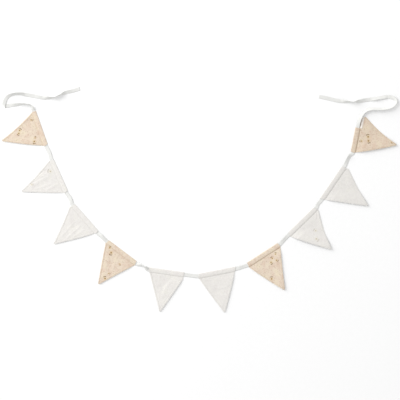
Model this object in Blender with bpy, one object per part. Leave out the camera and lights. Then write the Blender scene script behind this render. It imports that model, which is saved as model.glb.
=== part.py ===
"""Fabric bunting: ten triangular cotton flags threaded on one white ribbon, lying in a U.

Tables and sizes are in millimetres and become metres as each mesh is made.
X runs to the right along the swag, Y towards the two ties, Z up from the surface it lies on.
"""
from collections import namedtuple
from math import atan2, ceil, cos, degrees, pi, radians, sin, sqrt

import bmesh
import bpy
from mathutils import Vector

for thing in list(bpy.data.objects):
    bpy.data.objects.remove(thing, do_unlink=True)

MM = 0.001

# Cloth and ribbon
CLOTH = 1.0
RIBBON_WIDTH = 15.0
RIBBON_THICKNESS = 1.0
RIBBON_REST = 0.2
CLEARANCE = 0.3

# The casing is the flag's own top edge, folded over and stitched down, so that it makes a tunnel
TUNNEL_START = 1.4
TUNNEL_END = 17.6
TUNNEL_MIDDLE = 0.5 * (TUNNEL_START + TUNNEL_END)
TUNNEL_HEIGHT = RIBBON_THICKNESS + 2 * CLEARANCE
CASING_HEIGHT = TUNNEL_HEIGHT + 2 * CLOTH
CASING_DEPTH = 19.6

# Where the pointed end of every flag is turned in, it stays this wide to each side
TIP_HALF = 2.5

# Mesh steps across a flag, from its casing to its tip, and along the ribbon
COLUMNS = 10
ROWS = 11
RIBBON_STEP = 8.0
CASING_STEP = 26.0

# The ribbon is already flat and straight this far outside a casing's mouth
MOUTH = 2.0

# The middle of the laid-out bunting in the tables, where the part has its origin
MIDDLE = (0.9, -1.1)

# Each flag by the two ends of its folded edge and its tip. The side edges start out beyond the
# fold's ends (left_out, right_out) down to their shoulders (left_depth, right_depth), then run to
# the tip with a bow. short_casing is the length at the right end where the tunnel stops early.
Flag = namedtuple(
    "Flag",
    "name cloth left right tip left_out left_depth right_out right_depth left_bow right_bow short_casing",
)
FLAGS = (
    Flag("flag_01", "beige", (-678, 366), (-630, 230), (-818, 243), 2, 14, 5, 12, -5, 2, 0),
    Flag("flag_02", "white", (-602, 162), (-546, 37), (-737, 33), 7, 20, 5, 15, -3, 1, 0),
    Flag("flag_03", "white", (-515, -21), (-420, -129), (-603, -184), 7, 25, 4, 12, -2, 2, 0),
    Flag("flag_04", "beige", (-374, -171), (-261, -256), (-418, -351), 5, 19, 5, 18, 1, -1, 0),
    Flag("flag_05", "white", (-210, -282), (-63, -303), (-164, -465), -4, 17, -1, 29, 0, 1, 0),
    Flag("flag_06", "white", (-4, -309), (151, -279), (104, -468), 3, 17, -7, 18, 2, 2, 0),
    Flag("flag_07", "beige", (198, -263), (324, -182), (353, -375), 4, 21, 3, 16, 2, -1, 0),
    Flag("flag_08", "white", (369, -136), (472, -35), (546, -206), 8, 18, 9, 22, 2, -6, 0),
    Flag("flag_09", "white", (499, 3), (590, 136), (698, -26), -8, 21, 8, 30, 0, -4, 0),
    Flag("flag_10", "beige", (628, 199), (656, 340), (817, 226), 4, 12, 8, 34, 3, -7, 45),
)

# Soft ridges and lifted edges of the cloth: a line from one point to another, in millimetres along
# the fold and down from it, with the height it rises to and how far to each side the rise reaches
Crease = namedtuple("Crease", "flag from_along from_down to_along to_down height reach")
CREASES = (
    Crease("flag_01", 140, 34, 78, 160, 3.5, 26),
    Crease("flag_01", 14, 40, 52, 112, 1.6, 20),
    Crease("flag_02", 135, 40, 72, 160, 3.0, 24),
    Crease("flag_02", 44, 44, 56, 124, 2.6, 20),
    Crease("flag_02", 100, 44, 88, 104, 2.0, 18),
    Crease("flag_03", 140, 36, 70, 158, 3.5, 24),
    Crease("flag_03", 30, 62, 92, 92, 2.2, 20),
    Crease("flag_03", 56, 112, 92, 120, 2.0, 16),
    Crease("flag_04", 142, 40, 78, 156, 3.0, 26),
    Crease("flag_04", 30, 48, 66, 118, 1.6, 20),
    Crease("flag_05", 143, 40, 78, 158, 4.5, 24),
    Crease("flag_05", 88, 38, 70, 112, 2.2, 22),
    Crease("flag_06", 145, 36, 84, 158, 4.5, 24),
    Crease("flag_06", 44, 46, 104, 52, 2.0, 20),
    Crease("flag_07", 150, 34, 78, 162, 4.5, 26),
    Crease("flag_07", 6, 40, 64, 160, 2.0, 18),
    Crease("flag_08", -4, 38, 68, 160, 3.0, 24),
    Crease("flag_08", 140, 36, 116, 76, 3.0, 18),
    Crease("flag_09", 18, 36, 88, 166, 4.0, 26),
    Crease("flag_09", 140, 46, 110, 96, 2.0, 22),
    Crease("flag_10", 2, 40, 54, 164, 4.0, 26),
    Crease("flag_10", 140, 40, 112, 62, 3.5, 16),
)
# The rise starts below the casing, which lies flat
CREASE_START = 22.0
CREASE_RUN = 26.0

# The ribbon between one flag and the next: one point of its middle line and its tilt there
Gap = namedtuple("Gap", "x y tilt")
GAPS = (
    Gap(-623, 193, 12),
    Gap(-536, 1, 15),
    Gap(-405, -156, 20),
    Gap(-232, -279, 78),
    Gap(-34, -317, 0),
    Gap(176, -282, 8),
    Gap(352, -168, 25),
    Gap(492, -21, 8),
    Gap(622, 176, 55),
)

# The two free ties, each from the flags' end of the ribbon's order: the middle of the ribbon, the
# direction of its width seen from above, its tilt out of the flat and how far it is off the surface
Point = namedtuple("Point", "x y across tilt off")
LEFT_TIE = (
    Point(-496, 459, 106, 0, 0.0),
    Point(-525, 450, 104, 5, 0.0),
    Point(-554, 443, 110, 20, 0.0),
    Point(-578, 433, 112, 70, 0.0),
    Point(-601, 424, 103, 85, 0.0),
    Point(-625, 420, 90, 45, 0.0),
    Point(-654, 422, 81, 8, 0.0),
    Point(-686, 428, 79, 0, 0.0),
    Point(-720, 434, 82, 10, 0.0),
    Point(-748, 438, 90, 50, 0.0),
    Point(-772, 436, 104, 78, 0.0),
    Point(-792, 428, 122, 52, 0.0),
    Point(-804, 415, 140, 20, 0.8),
    Point(-810, 399, 138, 3, 2.0),
    Point(-812, 388, 131, 0, 2.0),
    Point(-812, 386, 131, 0, 1.0),
    Point(-811, 386, 131, 0, 0.0),
    Point(-789, 389, 106, 3, 0.0),
    Point(-762, 392, 96, 25, 0.0),
    Point(-736, 395, 92, 65, 0.0),
    Point(-714, 395, 80, 80, 0.0),
    Point(-699, 389, 48, 70, 0.0),
)
RIGHT_TIE = (
    Point(662, 322, 168, 0, 1.3),
    Point(670, 343, 157, -6, 1.4),
    Point(681, 360, 140, -10, 0.6),
    Point(698, 371, 114, -4, 0.0),
    Point(721, 375, 95, -4, 0.0),
    Point(750, 374, 91, -12, 0.0),
    Point(776, 376, 100, -38, 0.0),
    Point(798, 383, 122, -64, 0.0),
    Point(812, 394, 150, -64, 0.0),
    Point(817, 407, 184, -62, 0.0),
    Point(810, 420, 226, -70, 0.0),
    Point(793, 426, 260, -76, 0.0),
    Point(766, 424, 277, -48, 0.0),
    Point(733, 418, 280, -14, 0.0),
    Point(700, 413, 280, -5, 0.0),
    Point(667, 407, 278, -35, 0.0),
    Point(638, 404, 272, -84, 0.0),
    Point(613, 404, 266, -55, 0.0),
    Point(584, 407, 260, -10, 0.0),
    Point(555, 413, 258, 0, 0.0),
    Point(525, 420, 258, -4, 0.0),
    Point(496, 426, 258, 0, 0.0),
)

# Colours as linear red, green and blue
COLOURS = {
    "beige": (0.86, 0.73, 0.58),
    "white": (0.87, 0.85, 0.81),
    "ribbon": (0.90, 0.89, 0.87),
}


def fabric(name, roughness):
    """A matt woven finish in one of the bunting's colours."""
    material = bpy.data.materials.new(name)
    material.use_nodes = True
    shader = material.node_tree.nodes["Principled BSDF"]
    shader.inputs["Base Color"].default_value = (*COLOURS[name], 1.0)
    shader.inputs["Roughness"].default_value = roughness
    shader.inputs["Metallic"].default_value = 0.0
    return material


def add_object(name, mesh, material):
    """Turn a finished mesh into an object, with its faces pointing out."""
    bmesh.ops.recalc_face_normals(mesh, faces=mesh.faces)
    data = bpy.data.meshes.new(name)
    mesh.to_mesh(data)
    mesh.free()
    data.materials.append(material)
    data.shade_smooth()
    data.set_sharp_from_angle(angle=radians(50))
    bpy.context.scene.collection.objects.link(bpy.data.objects.new(name, data))


def placed(x, y, z):
    """A point of the tables in the part's own frame, in metres."""
    return Vector((x - MIDDLE[0], y - MIDDLE[1], z)) * MM


def flag_axes(flag):
    """The fold's left end, the directions along it and down from it, and its length."""
    start = Vector(flag.left)
    along = Vector(flag.right) - start
    length = along.length
    along.normalize()
    down = Vector((along.y, -along.x))
    return start, along, down, length


def casing_columns(flag):
    """How many of the flag's columns the tunnel runs over."""
    length = flag_axes(flag)[3]
    return round(COLUMNS * (length - flag.short_casing) / length)


def side_edge(depth, fold_end, shoulder, shoulder_depth, tip, tip_depth, bow):
    """Where a side edge stands along the fold's direction at one depth below the fold."""
    if depth < shoulder_depth:
        return fold_end + (shoulder - fold_end) * depth / shoulder_depth
    share = (depth - shoulder_depth) / (tip_depth - shoulder_depth)
    return shoulder + (tip - shoulder) * share + bow * sin(pi * share)


def crease_rise(creases, along, down):
    """How far the cloth rises off the surface at one point of a flag."""
    spot = Vector((along, down))
    rise = 0.0
    for crease in creases:
        start = Vector((crease.from_along, crease.from_down))
        run = Vector((crease.to_along, crease.to_down)) - start
        share = min(1.0, max(0.0, (spot - start).dot(run) / run.length_squared))
        distance = (spot - start - run * share).length
        if distance < crease.reach:
            rise += crease.height * 0.5 * (1.0 + cos(pi * distance / crease.reach))
    return rise * min(1.0, max(0.0, (down - CREASE_START) / CREASE_RUN))


# The casing in section, as depth below the fold and height: outside from the underside round the
# fold to the stitch line on the top, and inside as the tunnel's four walls
CASING_OUTSIDE = (
    (CASING_DEPTH, 0.0),
    (TUNNEL_MIDDLE, 0.0),
    (0.9, 0.0),
    (0.0, 1.0),
    (0.0, CASING_HEIGHT - 1.0),
    (0.9, CASING_HEIGHT),
    (TUNNEL_MIDDLE, CASING_HEIGHT),
    (TUNNEL_END - 0.2, CASING_HEIGHT),
    (TUNNEL_END + 1.1, CASING_HEIGHT - 0.8),
    (CASING_DEPTH, CLOTH),
)
CASING_INSIDE = (
    (TUNNEL_END, CLOTH),
    (TUNNEL_START, CLOTH),
    (TUNNEL_START, CLOTH + TUNNEL_HEIGHT),
    (TUNNEL_END, CLOTH + TUNNEL_HEIGHT),
)


def fill_end(mesh, outside, inside):
    """Close the end of a casing between its outline and the mouth of its tunnel."""
    edges = []
    for loop in (outside, inside):
        for here, after in zip(loop, loop[1:] + loop[:1]):
            edges.append(mesh.edges.get((here, after)) or mesh.edges.new((here, after)))
    bmesh.ops.triangle_fill(mesh, edges=edges, use_beauty=True)


def make_flag(flag, material):
    """One flag: its casing with the tunnel, and one layer of cloth from there to the tip."""
    start, along, down, length = flag_axes(flag)
    to_tip = Vector(flag.tip) - start
    tip_along = to_tip.dot(along)
    tip_depth = to_tip.dot(down)
    creases = [crease for crease in CREASES if crease.flag == flag.name]
    mesh = bmesh.new()

    def vertex(column, depth, height):
        left = side_edge(
            depth, 0.0, -flag.left_out, flag.left_depth, tip_along - TIP_HALF, tip_depth, -flag.left_bow
        )
        right = side_edge(
            depth, length, length + flag.right_out, flag.right_depth,
            tip_along + TIP_HALF, tip_depth, flag.right_bow,
        )
        across = left + (right - left) * column / COLUMNS
        spot = start + along * across + down * depth
        level = height + crease_rise(creases, across, depth)
        return mesh.verts.new(placed(spot.x, spot.y, level))

    last = casing_columns(flag)
    outside = [[vertex(column, *point) for point in CASING_OUTSIDE] for column in range(last + 1)]
    inside = [[vertex(column, *point) for point in CASING_INSIDE] for column in range(last + 1)]
    depths = [CASING_DEPTH + (tip_depth - CASING_DEPTH) * row / ROWS for row in range(ROWS + 1)]
    under = []
    upper = []
    for column in range(COLUMNS + 1):
        first = 1 if column <= last else 0
        under.append([vertex(column, depth, 0.0) for depth in depths[first:]])
        upper.append([vertex(column, depth, CLOTH) for depth in depths[first:]])
        if first:
            under[column].insert(0, outside[column][0])
            upper[column].insert(0, outside[column][-1])

    for column in range(last):
        here, after = outside[column], outside[column + 1]
        for point in range(len(CASING_OUTSIDE) - 1):
            mesh.faces.new((here[point], after[point], after[point + 1], here[point + 1]))
        here, after = inside[column], inside[column + 1]
        for point in range(len(CASING_INSIDE)):
            corner = (point + 1) % len(CASING_INSIDE)
            mesh.faces.new((here[point], here[corner], after[corner], after[point]))
    for column in range(COLUMNS):
        for side in (under, upper):
            here, after = side[column], side[column + 1]
            for row in range(ROWS):
                mesh.faces.new((here[row], after[row], after[row + 1], here[row + 1]))
        mesh.faces.new((under[column][-1], under[column + 1][-1], upper[column + 1][-1], upper[column][-1]))
        if column >= last:
            mesh.faces.new((under[column][0], under[column + 1][0], upper[column + 1][0], upper[column][0]))
    for column in (0, COLUMNS):
        for row in range(ROWS):
            low, high = under[column], upper[column]
            mesh.faces.new((low[row], low[row + 1], high[row + 1], high[row]))
    fill_end(mesh, outside[0], inside[0])
    fill_end(mesh, outside[last], inside[last])
    add_object(flag.name, mesh, material)


def threaded_points():
    """The ribbon's points from its left end, through every casing, to its right end."""
    points = list(LEFT_TIE)
    for number, flag in enumerate(FLAGS):
        start, along, down, length = flag_axes(flag)
        across = degrees(atan2(-down.y, -down.x))
        end = length * casing_columns(flag) / COLUMNS
        middle = start + down * TUNNEL_MIDDLE
        off = CLOTH + CLEARANCE - RIBBON_REST
        if number:
            gap = GAPS[number - 1]
            points.append(Point(gap.x, gap.y, 0.5 * (across + points[-1].across), gap.tilt, 0.0))
        first = -max(0.0, flag.left_out)
        final = end + (0.0 if flag.short_casing else max(0.0, flag.right_out))
        for place in (first - MOUTH, first + MOUTH, 0.5 * end, final - MOUTH, final + MOUTH):
            spot = middle + along * place
            points.append(Point(spot.x, spot.y, across, 0.0, off))
    return points + list(RIGHT_TIE)


def smooth_between(before, here, after, beyond, share):
    """A point on the smooth curve from here to after, with knots spaced by the chords' roots."""
    chain = [Vector(point) for point in (before, here, after, beyond)]
    knots = [0.0]
    for first, second in zip(chain, chain[1:]):
        knots.append(knots[-1] + sqrt((second - first).length))
    place = knots[1] + (knots[2] - knots[1]) * share
    for spans in (((0, 1), (1, 2), (2, 3)), ((0, 2), (1, 3)), ((1, 2),)):
        blended = []
        for index, (low, high) in enumerate(spans):
            weight = (place - knots[low]) / (knots[high] - knots[low])
            blended.append(chain[index] + (chain[index + 1] - chain[index]) * weight)
        chain = blended
    return chain[0]


def ribbon_samples(points):
    """Middle, width direction and tilt of the ribbon at every step of its length."""
    flat = [(point.x, point.y) for point in points]
    first = Vector(flat[0]) * 2 - Vector(flat[1])
    final = Vector(flat[-1]) * 2 - Vector(flat[-2])
    flat = [tuple(first)] + flat + [tuple(final)]
    samples = []
    for index in range(len(points) - 1):
        here, after = points[index], points[index + 1]
        chord = (Vector(flat[index + 2]) - Vector(flat[index + 1])).length
        straight = here.tilt == after.tilt == 0.0 and here.across == after.across
        steps = max(2, ceil(chord / (CASING_STEP if straight else RIBBON_STEP)))
        for step in range(steps):
            share = step / steps
            eased = share * share * (3.0 - 2.0 * share)
            spot = smooth_between(*flat[index:index + 4], share)
            across = radians(here.across + (after.across - here.across) * eased)
            tilt = radians(here.tilt + (after.tilt - here.tilt) * eased)
            off = here.off + (after.off - here.off) * eased
            samples.append((spot, across, tilt, off))
    end = points[-1]
    samples.append((Vector((end.x, end.y)), radians(end.across), radians(end.tilt), end.off))
    return samples


def make_ribbon(material):
    """The one ribbon, a thin band that turns and folds over as it lies."""
    middles = []
    widths = []
    rests = []
    for spot, across, tilt, off in ribbon_samples(threaded_points()):
        edge_rise = 0.5 * RIBBON_WIDTH * abs(sin(tilt)) + 0.5 * RIBBON_THICKNESS * cos(tilt)
        rests.append(RIBBON_REST + off)
        middles.append(Vector((spot.x, spot.y, rests[-1] + edge_rise)))
        widths.append(Vector((cos(across) * cos(tilt), sin(across) * cos(tilt), sin(tilt))))
    mesh = bmesh.new()
    sections = []
    for index, (middle, width) in enumerate(zip(middles, widths)):
        ahead = middles[min(index + 1, len(middles) - 1)]
        behind = middles[max(index - 1, 0)]
        travel = (ahead - behind).normalized()
        face = travel.cross(width)
        reach = width * (0.5 * RIBBON_WIDTH / face.length)
        thick = face.normalized() * (0.5 * RIBBON_THICKNESS)
        upper = (middle + reach + thick, middle - reach + thick)
        corners = (*upper, middle - reach - thick, middle + reach - thick)
        sink = min(corner.z for corner in corners) - rests[index]
        sections.append([mesh.verts.new(placed(corner.x, corner.y, corner.z - sink)) for corner in corners])
    for here, after in zip(sections, sections[1:]):
        for side in range(4):
            corner = (side + 1) % 4
            mesh.faces.new((here[side], here[corner], after[corner], after[side]))
    mesh.faces.new(sections[0])
    mesh.faces.new(sections[-1])
    add_object("ribbon", mesh, material)


fabrics = {name: fabric(name, 0.9) for name in ("beige", "white")}
for flag in FLAGS:
    make_flag(flag, fabrics[flag.cloth])
make_ribbon(fabric("ribbon", 0.6))
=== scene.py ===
from collections import namedtuple
from math import atan2, ceil, cos, degrees, pi, radians, sin, sqrt

import bmesh
import bpy
import numpy as np
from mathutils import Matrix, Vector, noise


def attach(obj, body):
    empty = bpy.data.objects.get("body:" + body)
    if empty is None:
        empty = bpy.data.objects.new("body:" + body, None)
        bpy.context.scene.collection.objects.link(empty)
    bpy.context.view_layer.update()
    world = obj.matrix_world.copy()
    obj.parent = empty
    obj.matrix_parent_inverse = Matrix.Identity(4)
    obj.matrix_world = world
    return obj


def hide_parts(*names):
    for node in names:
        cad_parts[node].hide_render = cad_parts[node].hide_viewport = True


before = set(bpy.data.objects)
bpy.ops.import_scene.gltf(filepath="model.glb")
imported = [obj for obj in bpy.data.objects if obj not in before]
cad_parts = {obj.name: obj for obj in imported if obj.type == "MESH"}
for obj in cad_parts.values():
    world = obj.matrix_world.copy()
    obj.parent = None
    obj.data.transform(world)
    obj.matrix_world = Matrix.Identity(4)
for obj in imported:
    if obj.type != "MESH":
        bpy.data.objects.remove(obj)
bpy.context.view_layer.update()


# The flags: ten triangles of plain-woven cotton, four beige and six off-white, seen as they lie.
# Each is folded over and stitched down along its straight edge, which makes the casing that the
# ribbon runs through, and its two slanting sides have narrow stitched hems.
MM = 0.001
LAYOUT_MIDDLE = Vector((0.9, -1.1))

# Their cut, in millimetres on the surface: the fold's two ends and the tip. Each corner stands out
# from the fold by its "out", at its own depth, and each side bends out by its bow. The casing
# covers a share of the fold, and the last two numbers are painted shade: how far the casing's seam
# and the whole flag are painted darker, the seam most where it faces away from the lamp and the
# flag where less light reaches it.
Flag = namedtuple(
    "Flag",
    "name cloth left right tip left_out left_depth right_out right_depth left_bow right_bow "
    "tunnel_share seam_shade all_shade",
)
FLAGS = (
    Flag("flag_01", "beige", (-678, 366), (-630, 230), (-818, 243), 2, 14, 5, 12, -5, 2, 1.0, 0.5, 0.0),
    Flag("flag_02", "white", (-602, 162), (-546, 37), (-737, 33), 7, 20, 5, 15, -3, 1, 1.0, 1.0, 0.0),
    Flag("flag_03", "white", (-515, -21), (-420, -129), (-603, -184), 7, 25, 4, 12, -2, 2, 1.0, 1.0, 0.0),
    Flag("flag_04", "beige", (-374, -171), (-261, -256), (-418, -351), 5, 19, 5, 18, 1, -1, 1.0, 0.6, 0.0),
    Flag("flag_05", "white", (-210, -282), (-63, -303), (-164, -465), -4, 17, -1, 29, 0, 1, 1.0, 0.5, 0.0),
    Flag("flag_06", "white", (-4, -309), (151, -279), (104, -468), 3, 17, -7, 18, 2, 2, 1.0, 0.8, 0.15),
    Flag("flag_07", "beige", (198, -263), (324, -182), (353, -375), 4, 21, 3, 16, 2, -1, 1.0, 1.5, 0.0),
    Flag("flag_08", "white", (369, -136), (472, -35), (546, -206), 8, 18, 9, 22, 2, -6, 1.0, 1.2, 0.25),
    Flag("flag_09", "white", (499, 3), (590, 136), (698, -26), -8, 21, 8, 30, 0, -4, 1.0, 1.2, 0.45),
    Flag("flag_10", "beige", (628, 199), (656, 340), (817, 226), 4, 12, 8, 34, 3, -7, 0.7, 1.8, 0.3),
)
TIP_HALF = 2.5
CLOTH_THICKNESS = 0.5
BODY_TOP = 19.6


def flag_axes(flag):
    """The fold's left end, the directions along it and down from it, and its length."""
    start = Vector(flag.left)
    along = Vector(flag.right) - start
    length = along.length
    along.normalize()
    return start, along, Vector((along.y, -along.x)), length


def tip_place(flag):
    """The tip, as the distance along the fold and down from it."""
    start, along, down, length = flag_axes(flag)
    to_tip = Vector(flag.tip) - start
    return to_tip.dot(along), to_tip.dot(down)


def side_edge(depth, fold_end, shoulder, shoulder_depth, tip, tip_depth, bow):
    """Where a slanting side stands along the fold's direction at one depth."""
    if depth < shoulder_depth:
        return fold_end + (shoulder - fold_end) * depth / shoulder_depth
    share = (depth - shoulder_depth) / (tip_depth - shoulder_depth)
    return shoulder + (tip - shoulder) * share + bow * sin(pi * share)


def flag_sides(flag, depth):
    """Both slanting sides of a flag at one depth below the fold."""
    length = flag_axes(flag)[3]
    tip_along, tip_depth = tip_place(flag)
    left = side_edge(
        depth, 0.0, -flag.left_out, flag.left_depth, tip_along - TIP_HALF, tip_depth, -flag.left_bow
    )
    right = side_edge(
        depth, length, length + flag.right_out, flag.right_depth,
        tip_along + TIP_HALF, tip_depth, flag.right_bow,
    )
    return left, right


def laid(flag, across, depth, height):
    """A point of a flag in the part's own frame, in metres."""
    start, along, down, length = flag_axes(flag)
    spot = start + along * across + down * depth - LAYOUT_MIDDLE
    return Vector((spot.x, spot.y, height)) * MM


# Their folds, as the cloth lies: soft ridges, lifted edges and troughs, each along a line from one
# point of the flag to another. Millimetres along the fold and down from it, with the rise and how
# far to each side it reaches. A fold at the casing rises from the casing's own edge.
Fold = namedtuple("Fold", "flag from_along from_down to_along to_down rise reach at_casing")
FOLDS = (
    Fold("flag_01", 140, 34, 78, 160, 2.0, 60, False),
    Fold("flag_01", 14, 40, 52, 112, 0.6, 20, False),
    Fold("flag_01", 12, 30, 30, 62, 0.5, 6, False),
    Fold("flag_01", 70, 40, 96, 96, 0.35, 8, False),
    Fold("flag_02", 135, 40, 72, 160, 1.2, 60, False),
    Fold("flag_02", 44, 44, 56, 124, 0.8, 20, False),
    Fold("flag_02", 50, 132, 44, 54, -0.45, 6, False),
    Fold("flag_02", 96, 22, 100, 78, 0.45, 7, True),
    Fold("flag_02", 38, 101, 27, 59, 0.35, 6, False),
    Fold("flag_02", 28, 78, 23, 48, -0.3, 5, False),
    Fold("flag_02", 84, 60, 78, 122, 0.4, 8, False),
    Fold("flag_03", 140, 36, 70, 158, 1.8, 60, False),
    Fold("flag_03", 30, 62, 92, 92, 0.6, 20, False),
    Fold("flag_03", 83, 136, 81, 46, 0.45, 7, False),
    Fold("flag_03", 62, 128, 52, 54, 0.4, 6, False),
    Fold("flag_03", 104, 40, 98, 92, 0.35, 7, False),
    Fold("flag_03", 72, 30, 66, 96, -0.3, 6, True),
    Fold("flag_04", 142, 40, 78, 156, 2.0, 60, False),
    Fold("flag_04", 30, 48, 66, 118, 0.6, 20, False),
    Fold("flag_04", 64, 30, 84, 92, 0.4, 8, True),
    Fold("flag_05", 143, 40, 78, 158, 2.0, 60, False),
    Fold("flag_05", 106, 22, 70, 73, -0.35, 9, True),
    Fold("flag_05", 92, 48, 72, 112, 0.5, 12, False),
    Fold("flag_05", 48, 26, 60, 84, 0.35, 7, True),
    Fold("flag_06", 145, 36, 84, 158, 2.0, 60, False),
    Fold("flag_06", 52, 34, 117, 41, 0.45, 9, False),
    Fold("flag_06", 52, 71, 101, 80, 0.45, 9, False),
    Fold("flag_06", 62, 92, 98, 104, -0.3, 7, False),
    Fold("flag_07", 150, 34, 78, 162, 2.8, 60, False),
    Fold("flag_07", 6, 40, 64, 160, 2.0, 40, False),
    Fold("flag_07", 70, 30, 62, 88, 0.4, 8, True),
    Fold("flag_08", -4, 38, 68, 160, 6.0, 62, False),
    Fold("flag_08", 140, 36, 116, 76, 0.8, 18, False),
    Fold("flag_08", 141, 20, 121, 40, 0.7, 6, True),
    Fold("flag_08", 153, 20, 133, 46, 0.7, 6, True),
    Fold("flag_08", 60, 24, 74, 70, 0.35, 8, True),
    Fold("flag_09", 18, 36, 88, 166, 4.0, 62, False),
    Fold("flag_09", 140, 46, 110, 96, 0.7, 22, False),
    Fold("flag_09", 80, 30, 84, 90, 0.35, 8, True),
    Fold("flag_10", 2, 40, 54, 164, 5.0, 60, False),
    Fold("flag_10", 140, 40, 112, 62, 1.0, 16, False),
    Fold("flag_10", 162, 27, 103, 24, 2.0, 5, True),
    Fold("flag_10", 84, 26, 78, 88, 0.5, 8, True),
)
FOLD_START = 22.0
FOLD_RUN = 26.0
CASING_RUN = 5.0

# Between the folds the cloth is slightly crumpled, in a large soft unevenness and a smaller one,
# and the stitched hems calm it
CRUMPLE_RISE = 0.5
CRUMPLE_SIZE = 36.0
RUMPLE_RISE = 0.22
RUMPLE_SIZE = 12.0
FINE_SHARE = 0.5
FINE_SIZE = 5.4
RISE_OFFSET = 0.7
HEM_CALM = 0.35
CALM_REACH = 14.0


def clamped(share):
    """A share kept between 0 and 1."""
    return min(1.0, max(0.0, share))


def bell(distance, reach):
    """1 on a line, falling softly to 0 at its reach."""
    return 0.5 * (1.0 + cos(pi * distance / reach)) if distance < reach else 0.0


def cloth_rise(flag, across, depth):
    """How far the cloth rises off the surface at one point, from its folds and its crumple."""
    spot = Vector((across, depth))
    away = clamped((depth - FOLD_START) / FOLD_RUN)
    close = clamped((depth - BODY_TOP) / CASING_RUN)
    rise = 0.0
    for fold in FOLDS:
        if fold.flag != flag.name:
            continue
        start = Vector((fold.from_along, fold.from_down))
        run = Vector((fold.to_along, fold.to_down)) - start
        share = clamped((spot - start).dot(run) / run.length_squared)
        distance = (spot - start - run * share).length
        rise += fold.rise * bell(distance, fold.reach) * (close if fold.at_casing else away)
    place = laid(flag, across, depth, 0.0) / MM
    crumple = CRUMPLE_RISE * (RISE_OFFSET + noise.noise(place / CRUMPLE_SIZE))
    fine = FINE_SHARE * noise.noise(place / FINE_SIZE)
    rumple = RUMPLE_RISE * (RISE_OFFSET + noise.noise(place / RUMPLE_SIZE) + fine)
    left, right = flag_sides(flag, depth)
    from_side = clamped(min(across - left, right - across) / CALM_REACH)
    calm = HEM_CALM + (1.0 - HEM_CALM) * from_side
    return rise + calm * close * max(0.0, crumple + rumple)


# Their casings: 20 mm of the cloth folded over to the front and stitched down near the turned-in
# raw edge, which leaves a soft tube. Its section is the depth below the fold and the height of the
# cloth's middle, from the turned edge on top, round the fold, to the underside.
Casing = namedtuple("Casing", "depth height thickness")
CASING = (
    Casing(20.2, 0.97, 0.8),
    Casing(19.6, 1.0, 0.85),
    Casing(18.8, 1.02, 0.85),
    Casing(18.2, 1.05, 0.8),
    Casing(17.7, 1.24, 0.7),
    Casing(17.0, 1.62, 0.6),
    Casing(16.0, 1.78, 0.5),
    Casing(14.4, 1.92, 0.5),
    Casing(12.2, 2.03, 0.5),
    Casing(9.6, 2.1, 0.5),
    Casing(7.0, 2.1, 0.5),
    Casing(4.8, 2.06, 0.5),
    Casing(3.0, 1.94, 0.5),
    Casing(1.6, 1.72, 0.5),
    Casing(0.7, 1.42, 0.5),
    Casing(0.3, 1.02, 0.5),
    Casing(0.6, 0.64, 0.5),
    Casing(1.6, 0.34, 0.5),
    Casing(4.0, 0.3, 0.5),
    Casing(9.0, 0.3, 0.5),
    Casing(14.0, 0.3, 0.5),
    Casing(18.2, 0.3, 0.5),
)
UNDERSIDE = 0.3
FRONT_FROM = 0.9

# Where the last flag's casing has ended, its front and its fold are cut away down to this depth
OPEN_FROM = 9.0

# The seam puckers the casing a little, differently on every flag, and beside the open corner of
# the last one it is pinched in two gathers
PUCKER_RISE = 0.35
PUCKER_SIZE = 11.0
PUCKER_LENGTH = 27.5
PUCKER_RUN = 1.5
FLAG_TO_FLAG = 7.3
GATHERS = (("flag_10", 79.0), ("flag_10", 90.5))
GATHER_RISE = 1.9
GATHER_REACH = 3.6
GATHER_SLANT = 0.18


def pucker(flag, across, depth):
    """How far the seam's small puckers and the gathers lift the front of the casing."""
    place = Vector((across / PUCKER_SIZE, depth / PUCKER_LENGTH, FLAGS.index(flag) * FLAG_TO_FLAG))
    rise = PUCKER_RISE * noise.noise(place)
    for name, gathered in GATHERS:
        if name == flag.name:
            rise += GATHER_RISE * bell(abs(across - gathered - GATHER_SLANT * depth), GATHER_REACH)
    return rise


def casing_end(flag, right):
    """Where the casing ends along the fold: at the flag's right side, or at its share of the fold."""
    return right if flag.tunnel_share == 1.0 else min(right, flag_axes(flag)[3] * flag.tunnel_share)


# Their hems: the slanting sides turned to the back by 6 mm and stitched, which makes them firmer
# and nearly twice as thick. The mesh has close columns of points at the hems, and rows of points
# from the casing's turned edge round to the tip, each with its place on the flat cut cloth.
HEM_WIDTH = 6.0
HEM_LIMIT = 0.4
HEM_SLACK = 1.001
HEM_THICKNESS = 0.85
HEM_STITCH = 4.6
STITCH_LIMIT = 0.3
HEM_COLUMNS = (0.0, 0.1, 0.5, 0.9, 1.0, 1.12)
FIRST_INNER = 1.35
INNER_COLUMNS = 56
HEM_RUN = 3.0
BODY_STEP = 2.1
BODY_REST = 0.05
Row = namedtuple("Row", "depth height thickness cut in_casing")


def column_places(left, right):
    """Where the mesh's columns stand: at shares of the hem's width in the hems, evenly between."""
    hem = min(HEM_WIDTH, HEM_LIMIT * (right - left))
    inner = np.linspace(left + hem * FIRST_INNER, right - hem * FIRST_INNER, INNER_COLUMNS)
    left_hem = [left + hem * step for step in HEM_COLUMNS]
    right_hem = [right - hem * step for step in reversed(HEM_COLUMNS)]
    return left_hem + list(inner) + right_hem


def in_hem(across, left, right):
    """Whether a point lies in the hem along either slanting side."""
    hem = min(HEM_WIDTH, HEM_LIMIT * (right - left))
    return min(across - left, right - across) <= hem * HEM_SLACK


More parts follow.
